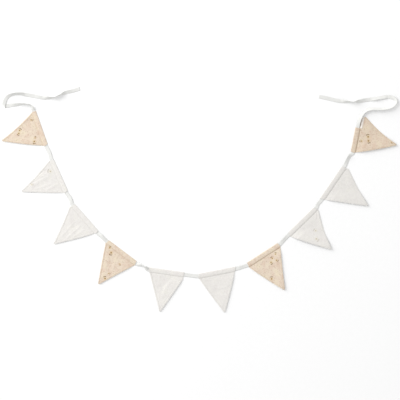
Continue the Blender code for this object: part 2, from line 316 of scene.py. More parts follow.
def flag_rows(flag):
    """The rows of the cloth from the casing's turned edge to the tip."""
    tip_depth = tip_place(flag)[1]
    rows = []
    after = CASING[-1]
    cut = after.depth
    for part in reversed(CASING):
        cut -= sqrt((part.depth - after.depth) ** 2 + (part.height - after.height) ** 2)
        rows.insert(0, Row(part.depth, part.height, part.thickness, cut, True))
        after = part
    count = ceil((tip_depth - BODY_TOP) / BODY_STEP)
    for step in range(count + 1):
        depth = BODY_TOP + (tip_depth - BODY_TOP) * step / count
        rows.append(Row(depth, UNDERSIDE, CLOTH_THICKNESS, depth, False))
    return rows


def cloth_section(flag, row, across, left, right):
    """The cloth's thickness at one point, and the height of its middle."""
    if row.in_casing:
        front = clamped((row.height - FRONT_FROM) / PUCKER_RUN)
        return row.thickness, row.height + pucker(flag, across, row.depth) * front
    thick = row.thickness
    if in_hem(across, left, right):
        thick += (HEM_THICKNESS - CLOTH_THICKNESS) * min(1.0, (row.depth - BODY_TOP) / HEM_RUN)
    return thick, BODY_REST + 0.5 * thick + cloth_rise(flag, across, row.depth)


# Their print: small sprigs scattered on the beige flags, and a few much fainter ones on the white.
# They are placed here by the distance along the fold and down from it, and every face of the cloth
# keeps its place from the nearest sprig, which its material draws.
Sprig = namedtuple("Sprig", "flag along down turn size")
SPRIGS = (
    Sprig("flag_01", 28, 31, 20, 0.8),
    Sprig("flag_01", 53, 91, 310, 0.9),
    Sprig("flag_01", 64, 98, 120, 0.9),
    Sprig("flag_01", 104, 41, 300, 0.7),
    Sprig("flag_01", 117, 49, 100, 1.0),
    Sprig("flag_02", 53, 128, 10, 0.8),
    Sprig("flag_02", 36, 34, 200, 1.2),
    Sprig("flag_04", 37, 36, 150, 1.1),
    Sprig("flag_04", 20, 23, 330, 0.8),
    Sprig("flag_04", 81, 111, 40, 0.6),
    Sprig("flag_04", 81, 137, 300, 1.0),
    Sprig("flag_04", 94, 52, 120, 0.6),
    Sprig("flag_07", 84, 53, 170, 0.9),
    Sprig("flag_07", 97, 42, 340, 0.8),
    Sprig("flag_07", 108, 58, 130, 0.8),
    Sprig("flag_07", 118, 34, 30, 0.7),
    Sprig("flag_07", 49, 112, 20, 1.0),
    Sprig("flag_08", 85, 76, 330, 1.0),
    Sprig("flag_08", 63, 102, 160, 1.2),
    Sprig("flag_10", 73, 59, 50, 1.1),
    Sprig("flag_10", 57, 64, 230, 1.1),
    Sprig("flag_10", 50, 36, 330, 0.8),
    Sprig("flag_10", 68, 158, 200, 0.6),
)
SPRIG_REACH = 24.0
FAR_AWAY = 900.0


def sprig_place(flag, centre, corner):
    """A corner's place from the sprig nearest to its face, turned and scaled with that sprig."""
    nearest = None
    reach = SPRIG_REACH
    for sprig in SPRIGS:
        distance = (Vector((sprig.along, sprig.down)) - centre).length
        if sprig.flag == flag.name and distance < reach:
            nearest = sprig
            reach = distance
    if nearest is None:
        return FAR_AWAY, FAR_AWAY
    turn = radians(nearest.turn)
    away = (corner - Vector((nearest.along, nearest.down))) / nearest.size
    return away.x * cos(turn) + away.y * sin(turn), away.y * cos(turn) - away.x * sin(turn)


# Their tones, mostly painted shade: the cloth is painted darker along the casing's seam, most on the
# flags whose seam faces away from the lamp, and whole flags that less light reaches are painted
# darker. Along the hems' stitched lines it is slightly darker, partly painted shade of the puckers
# and partly soiling. Where the last flag's casing is open, its inside is painted in shade beside a
# pale strip of the turned back.
SEAM_LINE = 20.4
SEAM_BLUR = 2.0
HEM_SHADE_AND_SOIL = 0.4
HEM_BLUR = 1.8
MOUTH_EDGE = 1.0
TURNED_TO = 29.0
TURNED_BLUR = 1.5


def painted_shade_share(flag, row, across, left, right):
    """How far the cloth is painted darker at one point: painted shade at the casing's seam and over the
    flag, and shade with soiling along the hems.
    """
    stitch_line = min(HEM_STITCH, STITCH_LIMIT * (right - left))
    from_stitches = abs(min(across - left, right - across) - stitch_line)
    near_hem = HEM_SHADE_AND_SOIL * max(0.0, 1.0 - from_stitches / HEM_BLUR)
    near_seam = 0.0
    if not row.in_casing or row.height > FRONT_FROM:
        near_seam = max(0.0, 1.0 - abs(row.depth - SEAM_LINE) / SEAM_BLUR)
    return flag.all_shade + max(near_hem, near_seam * flag.seam_shade)


def sew_flag(flag):
    """One flag's cloth as a sheet with its folds, hems and casing."""
    cloth = bmesh.new()
    # seam: painted shade at the seams and over whole flags, with soiling along the hems; inside: painted
    # shade inside the open casing
    seam = cloth.verts.layers.float.new("seam")
    back = cloth.verts.layers.float.new("back")
    inside = cloth.verts.layers.float.new("inside")
    weight = cloth.verts.layers.deform.verify()
    weave = cloth.loops.layers.uv.new("cloth")
    print_place = cloth.loops.layers.uv.new("sprigs")
    flat = {}
    seen = {}
    grid = []
    for row in flag_rows(flag):
        left, right = flag_sides(flag, row.depth)
        end = casing_end(flag, right)
        places = column_places(left, right)
        mouth = min(range(len(places)), key=lambda index: abs(places[index] - end))
        line = []
        for index, across in enumerate(places):
            cut_away = row.height > UNDERSIDE or row.depth < OPEN_FROM
            if row.in_casing and index > mouth and cut_away:
                line.append(None)
                continue
            if row.in_casing and index == mouth:
                across = end
            thick, level = cloth_section(flag, row, across, left, right)
            point = cloth.verts.new(laid(flag, across, row.depth, level))
            point[weight][0] = 2.0 * thick / HEM_THICKNESS - 1.0
            # painted shade at the seam and over the flag, and shade with soiling along the hems
            point[seam] = painted_shade_share(flag, row, across, left, right)
            # Inside the open casing the cloth is painted in shade; beside it the turned back is pale
            if flag.tunnel_share < 1.0 and across > end + MOUTH_EDGE:
                point[inside] = float(row.in_casing)
                point[back] = (1.0 - point[inside]) * clamped((TURNED_TO - row.depth) / TURNED_BLUR)
            flat[point] = Vector((across, row.cut))
            seen[point] = Vector((across, row.depth))
            line.append(point)
        grid.append(line)
    for line, below in zip(grid, grid[1:]):
        for column in range(len(line) - 1):
            corners = (line[column], line[column + 1], below[column + 1], below[column])
            if None in corners:
                continue
            face = cloth.faces.new(corners)
            face.smooth = True
            centre = sum((seen[point] for point in corners), Vector((0.0, 0.0))) / 4.0
            for loop in face.loops:
                loop[weave].uv = flat[loop.vert]
                loop[print_place].uv = sprig_place(flag, centre, seen[loop.vert])
    bmesh.ops.reverse_faces(cloth, faces=cloth.faces)
    mesh = bpy.data.meshes.new(flag.name + "_cloth")
    cloth.to_mesh(mesh)
    cloth.free()
    piece = bpy.data.objects.new(flag.name + "_cloth", mesh)
    bpy.context.scene.collection.objects.link(piece)
    piece.vertex_groups.new(name="double")
    wall = piece.modifiers.new("cloth thickness", "SOLIDIFY")
    wall.thickness = HEM_THICKNESS * MM
    wall.offset = 0.0
    wall.vertex_group = "double"
    wall.thickness_vertex_group = 0.5
    wall.use_even_offset = False
    return piece


# Their fabric: matt cotton. Threads half a millimetre apart are too fine to show, so the weave is
# drawn in threads of 1.4 mm and in slubs, thicker lengths of thread, which give the eye a fine
# uneven grain. The beige cloth is softly uneven in tone, with small darker flecks.
THREAD_PITCH = 1.4
SLUB_LENGTH = 16.0
SLUB_WIDTH = 2.2
SLUB_RELIEF = 1.6
TONE_SIZE = 26.0
FLECK_SIZE = 6.0
# How strongly the painted shade at seams, hems and flags, and the painted shade inside the open casing,
# darken the cloth
PAINTED_SHADE_STRENGTH = 0.5
PAINTED_INSIDE_SHADE = 0.8

# A sprig in millimetres from its own centre: the petals' middle length and how much they swell,
# the haze of ink bled into the cloth, and the brown marks by place, turn and half size, which are
# the blossom's heart, a bent stem and two leaves
PETALS = 5.0
PETAL_LENGTH = 3.9
PETAL_SWELL = 1.1
HAZE_FROM = 4.0
HAZE_TO = 12.0
SPRIG_MARKS = (
    ((0.0, 0.0, 0.0), 0.0, (2.2, 2.0, 1.0)),
    ((1.4, -6.6, 0.0), 1.35, (4.4, 0.45, 1.0)),
    ((4.9, -7.4, 0.0), 0.7, (3.6, 1.5, 1.0)),
    ((-1.6, -8.8, 0.0), -0.5, (3.2, 1.4, 1.0)),
)


def linear(code):
    """A colour given as sRGB hex, as linear red, green, blue and alpha."""
    channels = [int(code[place:place + 2], 16) / 255 for place in (1, 3, 5)]
    return (*(c / 12.92 if c <= 0.04045 else ((c + 0.055) / 1.055) ** 2.4 for c in channels), 1.0)


def add(tree, kind, sockets=None, **settings):
    """One node with its settings, its sockets given values or linked to other nodes' outputs."""
    made = tree.nodes.new(kind)
    for name, value in settings.items():
        setattr(made, name, value)
    for name, value in (sockets or {}).items():
        if isinstance(value, bpy.types.NodeSocket):
            tree.links.new(value, made.inputs[name])
        else:
            made.inputs[name].default_value = value
    return made


def start_material(name, roughness, sheen):
    """A new material with its shader, and the uniform values on the shader's own sockets."""
    material = bpy.data.materials.new(name)
    material.use_nodes = True
    tree = material.node_tree
    shader = tree.nodes["Principled BSDF"]
    shader.inputs["Roughness"].default_value = roughness
    shader.inputs["Specular IOR Level"].default_value = 0.2
    shader.inputs["Sheen Weight"].default_value = sheen
    shader.inputs["Sheen Roughness"].default_value = 0.5
    return material, tree, shader


def woven_threads(tree, place):
    """The crossing threads and the slubs that run both ways, as two height patterns."""
    spread = add(tree, "ShaderNodeSeparateXYZ", {0: place})
    waves = []
    slubs = []
    for axis, stretch in enumerate(((SLUB_LENGTH, SLUB_WIDTH), (SLUB_WIDTH, SLUB_LENGTH))):
        turns = {0: spread.outputs[axis], 1: 2 * pi / THREAD_PITCH}
        turns = add(tree, "ShaderNodeMath", turns, operation="MULTIPLY")
        waves.append(add(tree, "ShaderNodeMath", {0: turns.outputs[0]}, operation="SINE"))
        scale = (1 / stretch[0], 1 / stretch[1], 1)
        stretched = add(tree, "ShaderNodeMapping", {"Vector": place, "Scale": scale})
        slubs.append(add(
            tree, "ShaderNodeTexNoise",
            {"Vector": stretched.outputs[0], "Scale": 1.0, "Detail": 2.0, "Roughness": 0.6},
        ))
    threads = {0: waves[0].outputs[0], 1: waves[1].outputs[0]}
    threads = add(tree, "ShaderNodeMath", threads, operation="MULTIPLY")
    slub = {0: slubs[0].outputs["Fac"], 1: slubs[1].outputs["Fac"]}
    slub = add(tree, "ShaderNodeMath", slub, operation="ADD")
    return threads.outputs[0], slub.outputs[0]


def cloth_ground(tree, place, slub, tones, flecks, fleck_and_painted_shade_tone):
    """The cloth's own colour: three close tones in soft clouds, small flecks and the slubs' grain."""
    body = add(tree, "ShaderNodeTexCoord").outputs["Object"]
    clouds = add(
        tree, "ShaderNodeTexNoise",
        {"Vector": body, "Scale": 1 / (TONE_SIZE * MM), "Detail": 3.0, "Roughness": 0.65},
    )
    ramp = add(tree, "ShaderNodeValToRGB", {"Fac": clouds.outputs["Fac"]})
    stops = ramp.color_ramp.elements
    stops[0].position = 0.36
    stops[0].color = linear(tones[0])
    stops[1].position = 0.64
    stops[1].color = linear(tones[2])
    stops.new(0.5).color = linear(tones[1])
    nep = add(
        tree, "ShaderNodeTexNoise",
        {"Vector": place, "Scale": 1 / FLECK_SIZE, "Detail": 1.0, "Roughness": 0.5},
    )
    fleck = add(
        tree, "ShaderNodeMapRange",
        {"Value": nep.outputs["Fac"], "From Min": 0.56, "From Max": 0.72, "To Min": 0.0, "To Max": flecks},
    )
    flecked = add(
        tree, "ShaderNodeMix",
        {"Factor": fleck.outputs[0], 6: ramp.outputs[0], 7: linear(fleck_and_painted_shade_tone)},
        data_type="RGBA",
    )
    grain = add(
        tree, "ShaderNodeMapRange",
        {"Value": slub, "From Min": 0.7, "From Max": 1.3, "To Min": 0.95, "To Max": 1.05},
    )
    ground = {0: flecked.outputs[2], 3: grain.outputs[0]}
    return add(tree, "ShaderNodeVectorMath", ground, operation="SCALE").outputs[0]


def printed_sprigs(tree, ground, print_tones, strength):
    """The cloth's colour with the sprigs on it: an ochre haze, ochre petals and brown marks."""
    place = add(tree, "ShaderNodeUVMap", uv_map="sprigs").outputs["UV"]
    axes = add(tree, "ShaderNodeSeparateXYZ", {0: place})
    angle = {0: axes.outputs[1], 1: axes.outputs[0]}
    angle = add(tree, "ShaderNodeMath", angle, operation="ARCTAN2")
    lobes = add(tree, "ShaderNodeMath", {0: angle.outputs[0], 1: PETALS}, operation="MULTIPLY")
    lobes = add(tree, "ShaderNodeMath", {0: lobes.outputs[0]}, operation="COSINE")
    reach = {0: lobes.outputs[0], 1: PETAL_SWELL, 2: PETAL_LENGTH}
    reach = add(tree, "ShaderNodeMath", reach, operation="MULTIPLY_ADD")
    radius = add(tree, "ShaderNodeVectorMath", {0: place}, operation="LENGTH").outputs["Value"]
    share = add(tree, "ShaderNodeMath", {0: radius, 1: reach.outputs[0]}, operation="DIVIDE")
    petals = add(
        tree, "ShaderNodeMapRange",
        {
            "Value": share.outputs[0], "From Min": 0.8, "From Max": 1.1,
            "To Min": 0.8 * strength, "To Max": 0.0,
        },
    )
    haze = add(
        tree, "ShaderNodeMapRange",
        {
            "Value": radius, "From Min": HAZE_FROM, "From Max": HAZE_TO,
            "To Min": 0.35 * strength, "To Max": 0.0,
        },
        interpolation_type="SMOOTHSTEP",
    )
    marks = []
    for spot, turn, half_size in SPRIG_MARKS:
        moved = add(
            tree, "ShaderNodeMapping",
            {"Vector": place, "Location": spot, "Rotation": (0, 0, turn), "Scale": half_size},
            vector_type="TEXTURE",
        )
        edge = add(tree, "ShaderNodeVectorMath", {0: moved.outputs[0]}, operation="LENGTH")
        mark = add(
            tree, "ShaderNodeMapRange",
            {
                "Value": edge.outputs["Value"], "From Min": 0.75, "From Max": 1.2,
                "To Min": strength, "To Max": 0.0,
            },
        )
        marks.append(mark.outputs[0])
    inked = marks[0]
    for mark in marks[1:]:
        inked = add(tree, "ShaderNodeMath", {0: inked, 1: mark}, operation="MAXIMUM").outputs[0]
    printed = ground
    for amount, tone in zip((haze.outputs[0], petals.outputs[0], inked), print_tones):
        layers = {"Factor": amount, 6: printed, 7: linear(tone)}
        printed = add(tree, "ShaderNodeMix", layers, data_type="RGBA").outputs[2]
    return printed


def woven_cotton(name, tones, print_tones, strength, flecks, fleck_and_painted_shade_tone, back_tone):
    """Matt plain-woven cotton with its print, its pale back, painted shade at the seams, over darker flags
    and inside the open casing, and painted shade with soiling along the hems.
    """
    material, tree, shader = start_material(name, roughness=0.92, sheen=0.12)
    place = add(tree, "ShaderNodeUVMap", uv_map="cloth").outputs["UV"]
    threads, slub = woven_threads(tree, place)
    ground = cloth_ground(tree, place, slub, tones, flecks, fleck_and_painted_shade_tone)
    seen = printed_sprigs(tree, ground, print_tones, strength)
    # Painted shade: seams, hems and darker flags take on the shade tone, with some soiling at the hems,
    # and the open casing's inside takes the print's darkest brown; the back is paler cloth
    for part, amount, tone in (
        ("seam", PAINTED_SHADE_STRENGTH, fleck_and_painted_shade_tone),
        ("back", 1.0, back_tone),
        ("inside", PAINTED_INSIDE_SHADE, print_tones[2]),
    ):
        share = add(tree, "ShaderNodeAttribute", attribute_name=part).outputs["Fac"]
        share = add(tree, "ShaderNodeMath", {0: share, 1: amount}, operation="MULTIPLY")
        layers = {"Factor": share.outputs[0], 6: seen, 7: linear(tone)}
        seen = add(tree, "ShaderNodeMix", layers, data_type="RGBA").outputs[2]
    tree.links.new(seen, shader.inputs["Base Color"])
    height = {0: slub, 1: SLUB_RELIEF, 2: threads}
    height = add(tree, "ShaderNodeMath", height, operation="MULTIPLY_ADD")
    relief = {"Strength": 0.35, "Distance": 0.25 * MM, "Height": height.outputs[0]}
    raised = add(tree, "ShaderNodeBump", relief)
    tree.links.new(raised.outputs[0], shader.inputs["Normal"])
    return material


FABRICS = {
    "beige": woven_cotton(
        "printed plain-woven cotton, beige",
        tones=("#dfcab7", "#e5d5c3", "#e8dac3"),
        # the print's tones; the darkest is also the painted shade inside the open casing
        print_tones=("#dec9a0", "#c8a468", "#7d6242"),
        strength=1.0,
        flecks=0.4,
        # the flecks' tone, also the colour of the painted shade at seams, hems and darker flags
        fleck_and_painted_shade_tone="#b0977a",
        back_tone="#f2ebe4",
    ),
    "white": woven_cotton(
        "plain-woven cotton, off-white",
        tones=("#e7e3df", "#e9e6e2", "#eae7e1"),
        # the print's tones; the darkest would be the painted shade inside an open casing
        print_tones=("#e6dfc8", "#ddd0a8", "#8f8368"),
        strength=0.45,
        flecks=0.1,
        # the flecks' tone, also the colour of the painted shade at seams, hems and darker flags
        fleck_and_painted_shade_tone="#d8d6d2",
        back_tone="#e7e4e0",
    ),
}

for flag in FLAGS:
    piece = sew_flag(flag)
    piece.data.materials.append(FABRICS[flag.cloth])
    fold_length = flag_axes(flag)[3]
    tip_depth = tip_place(flag)[1]
    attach(piece, "root")
    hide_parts(flag.name)


# The stitching: lockstitch in cotton thread, one row along each casing and one along each hem.
# Every stitch is a short arched length of thread that dips into the cloth at both ends, and they
# are set one after the other along the sewn lines.
STITCH_LENGTH = 3.0
STITCH_PITCH = 3.8
STITCH_LEAST = 0.85
STITCH_MOST = 1.1
STITCH_SEED = 11
STITCH_CREST = 1.6
THREAD_RADIUS = 0.28
THREAD_SIDES = 6
THREAD_TWIST = 1.2
THREADS = {"beige": "#c9b294", "white": "#dcdbd7"}
CASING_STITCH = 18.2
CASING_STITCH_HEIGHT = 1.52
CASING_ENDS = 1.0
CASING_POINTS = 60
BELOW_CASING = 2.5
ABOVE_TIP = 2.0
HEM_POINTS = 90
ON_THE_HEM = 0.12


def seam_lines(flag):
    """The stitched lines of one flag: along the casing, and along the hems of both sides."""
    tip_depth = tip_place(flag)[1]
    left, right = flag_sides(flag, CASING_STITCH)
    end = casing_end(flag, right)
    across = np.linspace(left + CASING_ENDS, end - CASING_ENDS, CASING_POINTS)
    lines = [[laid(flag, place, CASING_STITCH, CASING_STITCH_HEIGHT) for place in across]]
    for on_left in (True, False):
        line = []
        for depth in np.linspace(BODY_TOP + BELOW_CASING, tip_depth - ABOVE_TIP, HEM_POINTS):
            left, right = flag_sides(flag, depth)
            hem = min(HEM_STITCH, STITCH_LIMIT * (right - left))
            place = left + hem if on_left else right - hem
            height = BODY_REST + HEM_THICKNESS + ON_THE_HEM + cloth_rise(flag, place, depth)
            line.append(laid(flag, place, depth, height))
        lines.append(line)
    return lines


stitcher = bpy.data.node_groups.new("lockstitch along a line", "GeometryNodeTree")
for name, kind, way in (
    ("Sewn lines", "NodeSocketGeometry", "INPUT"),
    ("Stitch length", "NodeSocketFloat", "INPUT"),
    ("Pitch", "NodeSocketFloat", "INPUT"),
    ("Thread radius", "NodeSocketFloat", "INPUT"),
    ("Thread", "NodeSocketMaterial", "INPUT"),
    ("Stitches", "NodeSocketGeometry", "OUTPUT"),
):
    stitcher.interface.new_socket(name=name, in_out=way, socket_type=kind)
given = add(stitcher, "NodeGroupInput").outputs
line = add(stitcher, "GeometryNodeMeshToCurve", {"Mesh": given["Sewn lines"]})
spaced = {"Curve": line.outputs[0], "Length": given["Pitch"]}
spaced = add(stitcher, "GeometryNodeResampleCurve", spaced, mode="LENGTH")
half = add(stitcher, "ShaderNodeMath", {0: given["Stitch length"], 1: 0.5}, operation="MULTIPLY")
back = add(stitcher, "ShaderNodeMath", {0: given["Stitch length"], 1: -0.5}, operation="MULTIPLY")
drop = add(stitcher, "ShaderNodeMath", {0: given["Thread radius"], 1: -1.0}, operation="MULTIPLY")
rise = {0: given["Thread radius"], 1: STITCH_CREST}
rise = add(stitcher, "ShaderNodeMath", rise, operation="MULTIPLY")
first = add(stitcher, "ShaderNodeCombineXYZ", {0: back.outputs[0], 2: drop.outputs[0]})
crest = add(stitcher, "ShaderNodeCombineXYZ", {2: rise.outputs[0]})
last = add(stitcher, "ShaderNodeCombineXYZ", {0: half.outputs[0], 2: drop.outputs[0]})
arch = add(
    stitcher, "GeometryNodeCurveQuadraticBezier",
    {"Resolution": 4, "Start": first.outputs[0], "Middle": crest.outputs[0], "End": last.outputs[0]},
)
ring = {"Resolution": THREAD_SIDES, "Radius": given["Thread radius"]}
ring = add(stitcher, "GeometryNodeCurvePrimitiveCircle", ring)
stitch = add(
    stitcher, "GeometryNodeCurveToMesh",
    {"Curve": arch.outputs[0], "Profile Curve": ring.outputs[0], "Fill Caps": True},
)
tangent = add(stitcher, "GeometryNodeInputTangent")
turn = add(stitcher, "FunctionNodeAlignRotationToVector", {"Vector": tangent.outputs[0]}, axis="X")
uneven = add(
    stitcher, "FunctionNodeRandomValue",
    {2: STITCH_LEAST, 3: STITCH_MOST, "Seed": STITCH_SEED},
    data_type="FLOAT",
)
sewn = add(
    stitcher, "GeometryNodeInstanceOnPoints",
    {
        "Points": spaced.outputs[0], "Instance": stitch.outputs[0],
        "Rotation": turn.outputs[0], "Scale": uneven.outputs[1],
    },
)
real = add(stitcher, "GeometryNodeRealizeInstances", {"Geometry": sewn.outputs[0]})
soft = add(stitcher, "GeometryNodeSetShadeSmooth", {"Geometry": real.outputs[0]})
coloured = {"Geometry": soft.outputs[0], "Material": given["Thread"]}
coloured = add(stitcher, "GeometryNodeSetMaterial", coloured)
add(stitcher, "NodeGroupOutput", {"Stitches": coloured.outputs[0]})


def sewing_thread(name, code):
    """Cotton thread: slightly shiny, with a twist too fine to show, drawn as a faint grain."""
    material, tree, shader = start_material(name, roughness=0.6, sheen=0.1)
    place = add(tree, "ShaderNodeTexCoord").outputs["Object"]
    twist = {"Vector": place, "Scale": 1 / (THREAD_TWIST * MM), "Detail": 1.0}
    twist = add(tree, "ShaderNodeTexNoise", twist)
    tone = add(
        tree, "ShaderNodeMapRange",
        {"Value": twist.outputs["Fac"], "From Min": 0.3, "From Max": 0.7, "To Min": 0.9, "To Max": 1.06},
    )
    toned = {0: linear(code)[:3], 3: tone.outputs[0]}
    thread = add(tree, "ShaderNodeVectorMath", toned, operation="SCALE")
    tree.links.new(thread.outputs[0], shader.inputs["Base Color"])
    return material


for cloth, code in THREADS.items():
    guide = bmesh.new()
    for flag in FLAGS:
        if flag.cloth != cloth:
            continue
        for line in seam_lines(flag):
            points = [guide.verts.new(point) for point in line]
            for here, after in zip(points, points[1:]):
                guide.edges.new((here, after))
    guide_mesh = bpy.data.meshes.new("sewn lines, " + cloth)
    guide.to_mesh(guide_mesh)
    guide.free()
    guide_piece = bpy.data.objects.new("sewn lines, " + cloth, guide_mesh)
    bpy.context.scene.collection.objects.link(guide_piece)
    stitches = guide_piece.modifiers.new("stitches", "NODES")
    stitches.node_group = stitcher
    sockets = {item.name: item.identifier for item in stitcher.interface.items_tree}
    for name, value in (
        ("Stitch length", STITCH_LENGTH * MM),
        ("Pitch", STITCH_PITCH * MM),
        ("Thread radius", THREAD_RADIUS * MM),
        ("Thread", sewing_thread("cotton sewing thread, " + cloth, code)),
    ):
        stitches[sockets[name]] = value
    evaluated = guide_piece.evaluated_get(bpy.context.evaluated_depsgraph_get())
    stitch_mesh = bpy.data.meshes.new_from_object(evaluated)
    bpy.data.objects.remove(guide_piece)
    stitch_mesh.name = "stitching_" + cloth
    stitching = bpy.data.objects.new("stitching_" + cloth, stitch_mesh)
    bpy.context.scene.collection.objects.link(stitching)
    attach(stitching, "root")


# The ribbon: one white woven ribbon, 15 mm wide, threaded through all the casings. It turns partly
# on its edge between some flags. Its two free ends are the ties: the left one is folded over once
# on a slant, and the right one turns back in a loop whose near side stands half on its edge.
RIBBON_WIDTH = 15.0
RIBBON_THICKNESS = 0.5
RIBBON_REST = 0.2
TUNNEL_MIDDLE = 9.3
TUNNEL_LIFT = 0.4
MOUTH = 2.0

# Its middle line, in millimetres on the surface, with the direction and the lean of its width in
# degrees, and how far it is off the surface
Point = namedtuple("Point", "x y across tilt off")
LEFT_TIE = (
    Point(-496, 459, 106, 0, 0.0),
    Point(-525, 450, 104, 5, 0.0),
    Point(-554, 443, 110, 20, 0.0),
    Point(-578, 433, 112, 70, 0.0),
    Point(-601, 424, 103, 85, 0.0),
    Point(-625, 420, 90, 45, 0.0),
    Point(-654, 422, 81, 8, 0.0),
    Point(-686, 428, 79, 0, 0.0),
    Point(-720, 434, 82, 10, 0.0),
    Point(-748, 438, 90, 46, 0.0),
    Point(-772, 436, 104, 46, 0.0),
    Point(-792, 428, 122, 20, 0.3),
    Point(-804, 415, 140, 5, 1.0),
    Point(-810, 399, 138, 3, 2.0),
    Point(-812, 388, 131, 0, 2.0),
    Point(-812, 386, 131, 0, 1.0),
    Point(-811, 386, 131, 0, 0.0),
    Point(-789, 389, 106, 3, 0.0),
    Point(-762, 392, 96, 25, 0.0),
    Point(-736, 395, 92, 65, 0.0),
    Point(-714, 395, 80, 80, 0.0),
    Point(-699, 389, 48, 70, 0.0),
)
GAPS = (
    Point(-623, 193, 0, 6, 0.0),
    Point(-536, 1, 0, 9, 0.0),
    Point(-405, -156, 0, 20, 0.0),
    Point(-232, -279, 0, 78, 0.0),
    Point(-34, -317, 0, 0, 0.0),
    Point(176, -282, 0, 8, 0.0),
    Point(352, -168, 0, 12, 0.0),
    Point(492, -21, 0, 8, 0.0),
    Point(622, 176, 0, 26, 0.0),
)
RIGHT_TIE = (
    Point(662, 322, 168, -16, 1.4),
    Point(670, 343, 157, -20, 1.6),
    Point(681, 360, 140, -26, 0.6),
    Point(698, 371, 114, -38, 0.0),
    Point(721, 375, 95, -48, 0.0),
    Point(750, 374, 91, -50, 0.0),
    Point(776, 377, 100, -48, 0.0),
    Point(797, 384, 122, -42, 0.0),
    Point(810, 395, 150, -34, 0.0),
    Point(814, 407, 184, -28, 0.0),
    Point(808, 418, 226, -20, 0.0),
    Point(792, 424, 260, -6, 0.0),
    Point(766, 424, 277, 14, 0.0),
    Point(733, 418, 280, 20, 0.0),
    Point(700, 413, 280, -4, 0.0),
    Point(667, 407, 278, -28, 0.0),
    Point(638, 404, 272, -84, 0.0),
    Point(613, 404, 266, -55, 0.0),
    Point(584, 407, 260, -10, 0.0),
    Point(555, 413, 258, 0, 0.0),
    Point(525, 420, 258, -4, 0.0),
    Point(496, 426, 258, 0, 0.0),
)
RIBBON_STEP = 2.5
LEAST_STEPS = 3
RIBBON_COLUMNS = 8
RIB_PITCH = 1.6
SELVEDGE = 1.0
SELVEDGE_BLUR = 0.3
SELVEDGE_RELIEF = 0.8
SHADE_SIZE = 24.0


def threaded_points():
    """The ribbon's points from its left end, through every casing, to its right end."""
    points = list(LEFT_TIE)
    for number, flag in enumerate(FLAGS):
        start, along, down, length = flag_axes(flag)
        across = degrees(atan2(-down.y, -down.x))
        end = length * flag.tunnel_share
        middle = start + down * TUNNEL_MIDDLE
        if number:
            gap = GAPS[number - 1]
            points.append(gap._replace(across=0.5 * (across + points[-1].across)))
        first = -max(0.0, flag.left_out)
        final = end + (0.0 if flag.tunnel_share < 1.0 else max(0.0, flag.right_out))
        for place in (first - MOUTH, first + MOUTH, 0.5 * end, final - MOUTH, final + MOUTH):
            spot = middle + along * place
            points.append(Point(spot.x, spot.y, across, 0.0, TUNNEL_LIFT))
    return points + list(RIGHT_TIE)


def smooth_between(before, here, after, beyond, share):
    """A point on the smooth curve from here to after, with knots spaced by the chords' roots."""
    chain = [Vector(point) for point in (before, here, after, beyond)]
    knots = [0.0]
    for first, second in zip(chain, chain[1:]):
        knots.append(knots[-1] + sqrt((second - first).length))
    place = knots[1] + (knots[2] - knots[1]) * share
    for spans in (((0, 1), (1, 2), (2, 3)), ((0, 2), (1, 3)), ((1, 2),)):
        blended = []
        for index, (low, high) in enumerate(spans):
            weight = (place - knots[low]) / (knots[high] - knots[low])
            blended.append(chain[index] + (chain[index + 1] - chain[index]) * weight)
        chain = blended
    return chain[0]


def ribbon_sections(points):
    """The ribbon's middle, the direction of its width and its rest, at every step of its length."""
    flat = [(point.x, point.y) for point in points]
    first = Vector(flat[0]) * 2 - Vector(flat[1])
    final = Vector(flat[-1]) * 2 - Vector(flat[-2])
    flat = [tuple(first)] + flat + [tuple(final)]
    sections = []
    for index, (here, after) in enumerate(zip(points, points[1:])):
        chord = (Vector(flat[index + 2]) - Vector(flat[index + 1])).length
        steps = max(LEAST_STEPS, ceil(chord / RIBBON_STEP))
        for step in range(steps + (index == len(points) - 2)):
            share = step / steps
            eased = share * share * (3.0 - 2.0 * share)
            spot = smooth_between(*flat[index:index + 4], share)
            across = radians(here.across + (after.across - here.across) * eased)
            tilt = radians(here.tilt + (after.tilt - here.tilt) * eased)
            rest = RIBBON_REST + here.off + (after.off - here.off) * eased
            width = Vector((cos(across) * cos(tilt), sin(across) * cos(tilt), sin(tilt)))
            rise = 0.5 * (RIBBON_WIDTH * abs(sin(tilt)) + cos(tilt))
            sections.append((Vector((spot.x, spot.y, rest + rise)), width, rest))
    return sections


def weave_ribbon(sections):
    """The ribbon's sheet, every section set down on its rest, and the length of its middle line."""
    band = bmesh.new()
    weave = band.loops.layers.uv.new("cloth")
    flat = {}
    rows = []
    travelled = 0.0
    for index, (middle, width, rest) in enumerate(sections):
        ahead = sections[min(index + 1, len(sections) - 1)][0]
        behind = sections[max(index - 1, 0)][0]
        if index:
            travelled += (middle - behind).length
        facing = (ahead - behind).normalized().cross(width)
        reach = width * (0.5 * RIBBON_WIDTH / facing.length)
        thick = facing.normalized() * (0.5 * RIBBON_THICKNESS)
        corners = [middle + reach * side + thick * turn for side in (-1, 1) for turn in (-1, 1)]
        sink = min(corner.z for corner in corners) - rest
        row = []
        for column in range(RIBBON_COLUMNS + 1):
            share = 2.0 * column / RIBBON_COLUMNS - 1.0
            spot = middle + reach * share
            spot = Vector((spot.x - LAYOUT_MIDDLE.x, spot.y - LAYOUT_MIDDLE.y, spot.z - sink))
            point = band.verts.new(spot * MM)
            flat[point] = Vector((0.5 * RIBBON_WIDTH * share, travelled))
            row.append(point)
        rows.append(row)
    for row, after in zip(rows, rows[1:]):
        for column in range(RIBBON_COLUMNS):
            face = band.faces.new((row[column], row[column + 1], after[column + 1], after[column]))
            face.smooth = True
            for loop in face.loops:
                loop[weave].uv = flat[loop.vert]
    mesh = bpy.data.meshes.new("ribbon_band")
    band.to_mesh(mesh)
    band.free()
    return mesh, travelled


